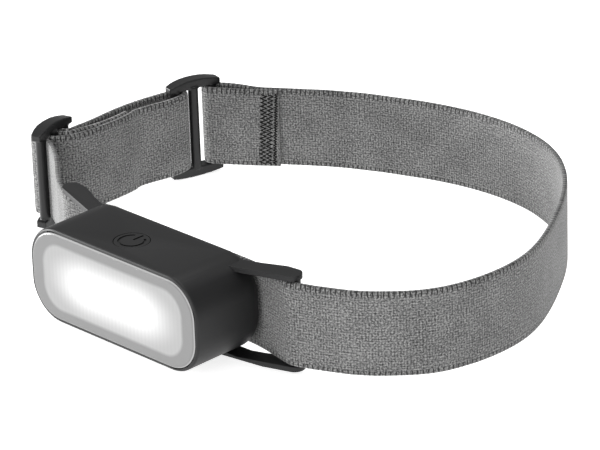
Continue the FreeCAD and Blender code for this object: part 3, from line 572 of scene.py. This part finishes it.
# %% Finishes of the inside
INSIDE = {
    "lens_seal": silicone,
    "light_tray": grained("white polycarbonate reflector", "e9e9e6", 0.35, 0.6, 0.01),
    "cob_board": grained("aluminium board, white mask", "dcdcd8", 0.40, 0.4, 0.01),
    "phosphor_strip": grained("yellow phosphor gel", "e8c838", 0.45, 0.5, 0.03),
    "tray_screws": grained("nickel-plated steel", "a8a6a0", 0.30, 0.4, 0.01, metallic=1.0),
    "circuit_board": grained("green solder mask", "12502a", 0.35, 0.8, 0.01),
    "board_chips": grained("black epoxy moulding compound", "1a1a1a", 0.60, 0.2, 0.02),
    "charge_socket": grained("stamped stainless steel", "b4b4b2", 0.28, 0.5, 0.01, metallic=1.0),
    "socket_tongue": grained("black nylon", "151515", 0.50, 0.3, 0.01),
    "switch_body": grained("black nylon switch body", "181818", 0.50, 0.3, 0.01),
    "switch_plunger": grained("red nylon plunger", "8a2018", 0.45, 0.3, 0.01),
    "button_clip": grained("spring-steel ring", "8f8f8c", 0.35, 0.3, 0.01, metallic=1.0),
    "button_seal": silicone,
    "battery_cell": grained("aluminium-laminate pouch", "b9bbbe", 0.38, 1.2, 0.05, metallic=0.9),
    "battery_pads": grained("closed-cell foam", "2a2a2a", 0.95, 0.4, 0.12, specular=0.1),
    "battery_leads": grained("red silicone wire", "a01c14", 0.50, 0.3, 0.01),
    "led_leads": grained("red silicone wire, thin", "9c2018", 0.50, 0.3, 0.01),
    "port_flap": silicone,
}


def paint(name, material):
    """Give a node of the frame one material."""
    slots = nodes[name].data.materials
    slots.clear()
    slots.append(material)


for name, material in INSIDE.items():
    paint(name, material)
print("inside nodes painted:", len(INSIDE))

# %% [markdown]
# ## The lens
# The lens is milky polycarbonate, lit from behind through an opening with rounded corners.
# Its outer band, in front of the tray's frame, only glows a little. The lit shape is worked
# out from the distance to a rounded rectangle, and falls off from the middle to both ends,
# where the LED strip stops short. A faint ribbing on the lens's back shows towards the ends,
# and a painted highlight, an emission on the rounded edge, brightens that edge.

# %% Glowing lens
PANEL_HALF = (28.4, 10.2)       # half the opening's width and height, mm
PANEL_CORNER = 7.2
PANEL_FADE = (0.5, 0.9)         # how far its soft edge goes out and in from the opening's line
STRIP_HALF = (9.0, 0.5)         # half the size of what is seen at full brightness, mm
STRIP_STRETCH = (0.55, 0, 1.0)  # the glow reaches further along the strip than across it
GLOW_REACH = 10.5               # where the glow has faded, mm across the strip
GLOW_RANGE = (0.22, 0.95)       # its strength out there and on the strip
RIBBING = 1.5                   # spacing of the ribs on the lens's back, mm
RIB_WEIGHT = 0.035
# the rounded edge's glow is a painted highlight, an emission set by how far the normal turns from the
# front
EDGE_TURN = (-0.97, -0.70)      # normal's Y where the rounded edge begins and where it glows fully
PAINTED_EDGE_HIGHLIGHT = 0.30


def milky_lens():
    """Milky polycarbonate whose light comes from where it lies in front of the LED strip, with a painted
    highlight on its rounded edge.
    """
    material, tree = new_material("milky polycarbonate, lit from behind")
    where = add_node(tree, "ShaderNodeTexCoord")
    place = add_node(tree, "ShaderNodeVectorMath", {"operation": "SCALE"},
                     Vector=where.outputs["Object"], Scale=1 / MM)
    size = add_node(tree, "ShaderNodeVectorMath", {"operation": "ABSOLUTE"},
                    Vector=place.outputs[0])
    inner = (PANEL_HALF[0] - PANEL_CORNER, 0, PANEL_HALF[1] - PANEL_CORNER)
    past = add_node(tree, "ShaderNodeVectorMath", {"operation": "SUBTRACT"}, i0=size.outputs[0],
                    i1=inner)
    past = add_node(tree, "ShaderNodeVectorMath", {"operation": "MULTIPLY"}, i0=past.outputs[0],
                    i1=(1, 0, 1))
    outside = add_node(tree, "ShaderNodeVectorMath", {"operation": "MAXIMUM"},
                       i0=past.outputs[0], i1=(0, 0, 0))
    reach = add_node(tree, "ShaderNodeVectorMath", {"operation": "LENGTH"}, i0=outside.outputs[0])
    panel = add_node(tree, "ShaderNodeMapRange", {"interpolation_type": "SMOOTHSTEP"},
                     i0=reach.outputs["Value"])
    panel.inputs["From Min"].default_value = PANEL_CORNER + PANEL_FADE[0]
    panel.inputs["From Max"].default_value = PANEL_CORNER - PANEL_FADE[1]

    strip = add_node(tree, "ShaderNodeVectorMath", {"operation": "SUBTRACT"}, i0=size.outputs[0],
                     i1=(STRIP_HALF[0], 0, STRIP_HALF[1]))
    strip = add_node(tree, "ShaderNodeVectorMath", {"operation": "MAXIMUM"}, i0=strip.outputs[0],
                     i1=(0, 0, 0))
    strip = add_node(tree, "ShaderNodeVectorMath", {"operation": "MULTIPLY"}, i0=strip.outputs[0],
                     i1=STRIP_STRETCH)
    spread = add_node(tree, "ShaderNodeVectorMath", {"operation": "LENGTH"},
                      i0=strip.outputs[0])
    glow = add_node(tree, "ShaderNodeMapRange", {"interpolation_type": "SMOOTHSTEP"},
                    i0=spread.outputs["Value"])
    glow.inputs["From Min"].default_value = GLOW_REACH
    glow.inputs["From Max"].default_value = 0.0
    glow.inputs["To Min"].default_value = GLOW_RANGE[0]
    glow.inputs["To Max"].default_value = GLOW_RANGE[1]

    axes = add_node(tree, "ShaderNodeSeparateXYZ", Vector=place.outputs[0])
    ribs = add_node(tree, "ShaderNodeMath", {"operation": "MULTIPLY"}, i0=axes.outputs["X"],
                    i1=2 * math.pi / RIBBING)
    ribs = add_node(tree, "ShaderNodeMath", {"operation": "SINE"}, i0=ribs.outputs[0])
    ribs = add_node(tree, "ShaderNodeMath", {"operation": "MULTIPLY_ADD"}, i0=ribs.outputs[0],
                    i1=RIB_WEIGHT, i2=1.0)
    light = add_node(tree, "ShaderNodeMath", {"operation": "MULTIPLY"}, i0=glow.outputs[0],
                     i1=ribs.outputs[0])
    light = add_node(tree, "ShaderNodeMath", {"operation": "MULTIPLY"}, i0=light.outputs[0],
                     i1=panel.outputs[0])
    # painted highlight: emission on the lens's rounded edge, growing as its normal turns away from -Y
    facing = add_node(tree, "ShaderNodeNewGeometry")
    facing = add_node(tree, "ShaderNodeSeparateXYZ", Vector=facing.outputs["Normal"])
    edge = add_node(tree, "ShaderNodeMapRange", {"interpolation_type": "SMOOTHSTEP"},
                    i0=facing.outputs["Y"])
    edge.inputs["From Min"].default_value = EDGE_TURN[0]
    edge.inputs["From Max"].default_value = EDGE_TURN[1]
    edge.inputs["To Max"].default_value = PAINTED_EDGE_HIGHLIGHT
    strength = add_node(tree, "ShaderNodeMath", {"operation": "ADD"}, i0=light.outputs[0],
                        i1=edge.outputs[0])
    grain = add_node(tree, "ShaderNodeTexNoise", Vector=where.outputs["Object"],
                     Scale=1 / (0.4 * MM), Detail=2.0)
    bump = add_node(tree, "ShaderNodeBump", Strength=0.3, Distance=0.01 * MM,
                    Height=grain.outputs[0])
    shader = add_node(tree, "ShaderNodeBsdfPrincipled", Base_Color=linear("696969"),
                      Roughness=0.32, IOR=1.58, Emission_Color=(1, 1, 1, 1),
                      Emission_Strength=strength.outputs[0], Normal=bump.outputs[0])
    return finish_material(material, shader)


paint("lens", milky_lens())
print("lens lit")

# %% [markdown]
# ## Housing and button
# The frame's housing has the right shape, but a mould never leaves a knife edge. In a copy the
# doubled points are merged, flat faces are joined, and a narrow bevel rounds every sharp edge,
# so that the ears and the rim round the lens catch the light.

# %% Housing
JOIN_ANGLE = math.radians(0.4)    # faces flatter to each other than this are one face
SHARP_ANGLE = math.radians(28)    # edges sharper than this are rounded
HOUSING_ROUND = 0.45              # width of the rounding, mm


def soften(name, new_name, width):
    """A merged copy of a frame node with its sharp edges rounded, standing for the node."""
    bm = bmesh.new()
    bm.from_mesh(nodes[name].data)
    bmesh.ops.remove_doubles(bm, verts=bm.verts, dist=1e-6)
    flat = [e for e in bm.edges if e.is_manifold and e.calc_face_angle() < JOIN_ANGLE]
    bmesh.ops.dissolve_edges(bm, edges=flat, use_verts=True)
    sharp = [e for e in bm.edges if e.is_manifold and e.calc_face_angle() > SHARP_ANGLE]
    bmesh.ops.bevel(bm, geom=sharp, offset=width * MM, offset_type="OFFSET", affect="EDGES",
                    segments=3, profile=0.5, material=-1, clamp_overlap=True)
    return object_from(bm, new_name)


housing = soften("housing", "soft_housing", HOUSING_ROUND)
housing.data.materials.append(shell_abs)
paint("power_button", button_abs)
print("housing faces", len(housing.data.polygons))

# %% [markdown]
# ## Every piece rides on its body
# The strap, its seams and the sliders all stay with the lamp's housing, the root body.

# %% Ride and replace
adjuster.data.materials.append(acetal)
joiner.data.materials.append(acetal)
for seam in (loop_seam, tail_seam):
    seam.data.materials.append(thread)

STRAP_NODES = ("strap_lamp_run", "strap_right", "strap_back", "strap_end_loop",
               "strap_left_run", "strap_outer_layer", "strap_inner_layer")
PIECES = ((housing, "housing_plastic", ("housing",)),
          (strap, "strap_elastic", STRAP_NODES),
          (loop_seam, "seam_thread", ("loop_stitching",)),
          (tail_seam, "seam_thread", ("end_stitching",)),
          (adjuster, "slider_plastic", ("adjuster_slider",)),
          (joiner, "slider_plastic", ("joining_slider",)))
for piece, slot, replaced in PIECES:
    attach(piece, "root")
    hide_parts(*replaced)
bpy.data.objects.remove(route)
print("pieces riding:", len(PIECES))

# %% [markdown]
# ## The floor
# A white floor that glows a little, as a light table does, keeps the shadows faint. It lies just
# under the lowest point of the frame.

# %% Floor
FLOOR_GLOW = 0.75
FLOOR_GAP = 0.2          # how far the floor lies under the frame, mm


def light_table():
    """Matt white acrylic, lit from below."""
    material, tree = new_material("white acrylic light table")
    where = add_node(tree, "ShaderNodeTexCoord")
    grain = add_node(tree, "ShaderNodeTexNoise", Vector=where.outputs["Object"], Scale=300.0)
    bump = add_node(tree, "ShaderNodeBump", Strength=0.05, Distance=0.01 * MM,
                    Height=grain.outputs[0])
    shader = add_node(tree, "ShaderNodeBsdfPrincipled", Base_Color=linear("f4f4f4"),
                      Roughness=0.9, Specular_IOR_Level=0.1, Emission_Color=(1, 1, 1, 1),
                      Emission_Strength=FLOOR_GLOW, Normal=bump.outputs[0])
    return finish_material(material, shader)


bm = bmesh.new()
bmesh.ops.create_grid(bm, x_segments=4, y_segments=4, size=15)
bmesh.ops.translate(bm, verts=bm.verts, vec=(0, 0, cad_box[0][2] - FLOOR_GAP * MM))
floor = object_from(bm, "floor")
floor.data.materials.append(light_table())
print("floor at", round(cad_box[0][2] / MM, 2), "mm")

# %% [markdown]
# ## The lights
# A small light stands low on the left, so that the near side of the strap shades its far side.
# A soft box hangs above, a weak one fills from the front, and a pale world lifts the rest.

# %% Lights
WORLD_GLOW = 0.4


def soft_box(name, place, target, size, power):
    """A square area light at place, turned to face target."""
    data = bpy.data.lights.new(name, "AREA")
    data.size = size
    data.energy = power
    box = bpy.data.objects.new(name, data)
    look = (Vector(target) - Vector(place)).to_track_quat("-Z", "Y")
    box.matrix_world = Matrix.Translation(place) @ look.to_matrix().to_4x4()
    bpy.context.scene.collection.objects.link(box)
    return box


MIDDLE = (0.0, 0.07, 0.0)
soft_box("left_box", (-1.15, -0.5, 0.12), MIDDLE, 0.26, 22)
soft_box("top_box", (-0.1, 0.1, 1.2), MIDDLE, 0.8, 8)
soft_box("front_box", (0.35, -1.1, 0.5), MIDDLE, 0.6, 6.0)

world = bpy.data.worlds.new("studio")
world.use_nodes = True
world.node_tree.nodes["Background"].inputs["Color"].default_value = (1, 1, 1, 1)
world.node_tree.nodes["Background"].inputs["Strength"].default_value = WORLD_GLOW
bpy.context.scene.world = world
bpy.context.scene.view_settings.view_transform = "Standard"
